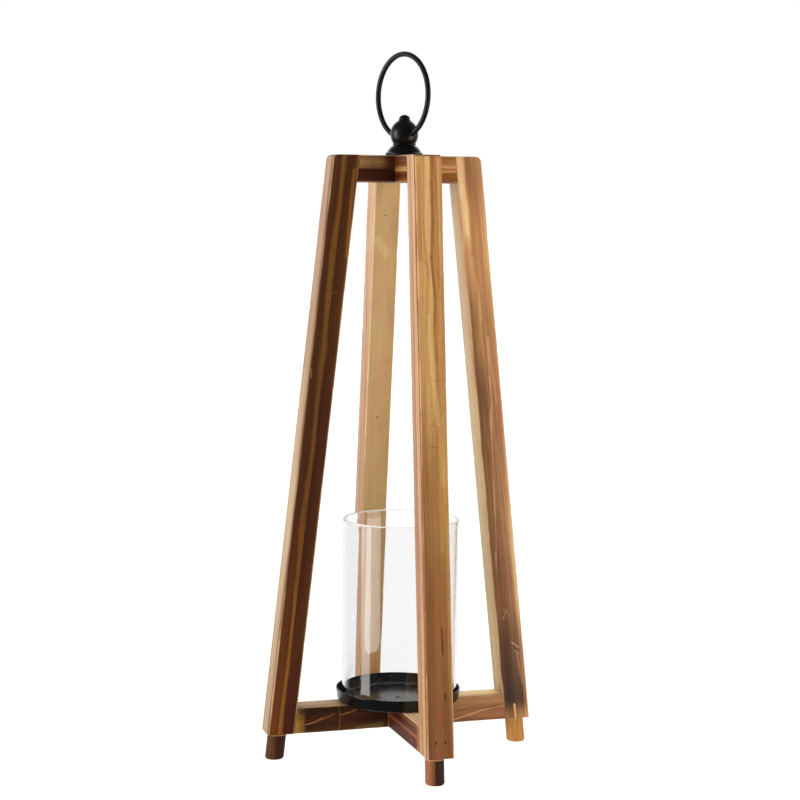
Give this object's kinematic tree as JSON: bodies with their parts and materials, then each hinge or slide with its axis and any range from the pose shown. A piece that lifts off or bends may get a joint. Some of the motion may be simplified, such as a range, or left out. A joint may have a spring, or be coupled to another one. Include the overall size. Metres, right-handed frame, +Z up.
{
  "type": "hanging lantern",
  "caption": "Tall tapering wooden lantern on four leaning legs, with a glass cylinder in a round black tray near the floor and a black finial with a swinging carrying ring on top.",
  "frame": {"origin": "on the floor, at the middle of the four feet, under the finial", "axes": "+Z up, the left and right legs' arm along X, the front and back legs' arm along Y, with the front leg towards -Y"},
  "size_m": [0.3102, 0.3102, 0.7859],
  "materials": {
    "wood_tan": "oiled, sapwood and light heartwood",
    "wood_pale": "oiled, pale sapwood",
    "wood_brown": "oiled, striped heartwood",
    "wood_dark": "oiled, dark heartwood",
    "black_tray": "satin black enamel",
    "black_casting": "semi-gloss black enamel",
    "nail_steel": "bright steel, dulled",
    "clear_glass": "clear, polished lips"
  },
  "bodies": {
    "frame": {"leg_front_outer": "wood_tan", "leg_front_inner": "wood_pale", "leg_right_outer": "wood_brown", "leg_right_inner": "wood_pale", "leg_back_outer": "wood_tan", "leg_back_inner": "wood_pale", "leg_left_outer": "wood_brown", "leg_left_inner": "wood_dark", "top_rail_left_right_upper": "wood_brown", "top_rail_front_back_lower": "wood_dark", "top_rail_left_lower": "wood_dark", "top_rail_right_lower": "wood_brown", "top_rail_front_upper": "wood_brown", "top_rail_back_upper": "wood_tan", "bottom_rail_left_right_upper": "wood_pale", "bottom_rail_front_back_lower": "wood_dark", "bottom_rail_left_lower": "wood_dark", "bottom_rail_right_lower": "wood_brown", "bottom_rail_front_upper": "wood_brown", "bottom_rail_back_upper": "wood_tan", "foot_front": "wood_brown", "foot_right": "wood_tan", "foot_back": "wood_brown", "foot_left": "wood_dark", "nail_top_front_1": "nail_steel", "nail_top_front_2": "nail_steel", "nail_top_right_1": "nail_steel", "nail_top_right_2": "nail_steel", "nail_top_back_1": "nail_steel", "nail_top_back_2": "nail_steel", "nail_top_left_1": "nail_steel", "nail_top_left_2": "nail_steel", "nail_bottom_front_1": "nail_steel", "nail_bottom_front_2": "nail_steel", "nail_bottom_right_1": "nail_steel", "nail_bottom_right_2": "nail_steel", "nail_bottom_back_1": "nail_steel", "nail_bottom_back_2": "nail_steel", "nail_bottom_left_1": "nail_steel", "nail_bottom_left_2": "nail_steel", "finial_base": "black_casting", "finial_body": "black_casting", "finial_screw": "nail_steel", "finial_washer": "nail_steel", "tray": "black_tray", "tray_screw": "black_tray"},
    "ring": {"carry_ring": "black_casting"},
    "glass": {"glass_cylinder": "clear_glass"}
  },
  "joints": [
    {"name": "ring_swing", "type": "hinge", "parent": "frame", "child": "ring", "pos_m": [0, 0, 0.69405], "axis": [0.3322, -0.9432, 0], "range_deg": [-100, 100]},
    {"name": "glass_lift", "type": "slide", "parent": "frame", "child": "glass", "axis": [0, 0, 1], "range_m": [0, 0.2]}
  ]
}
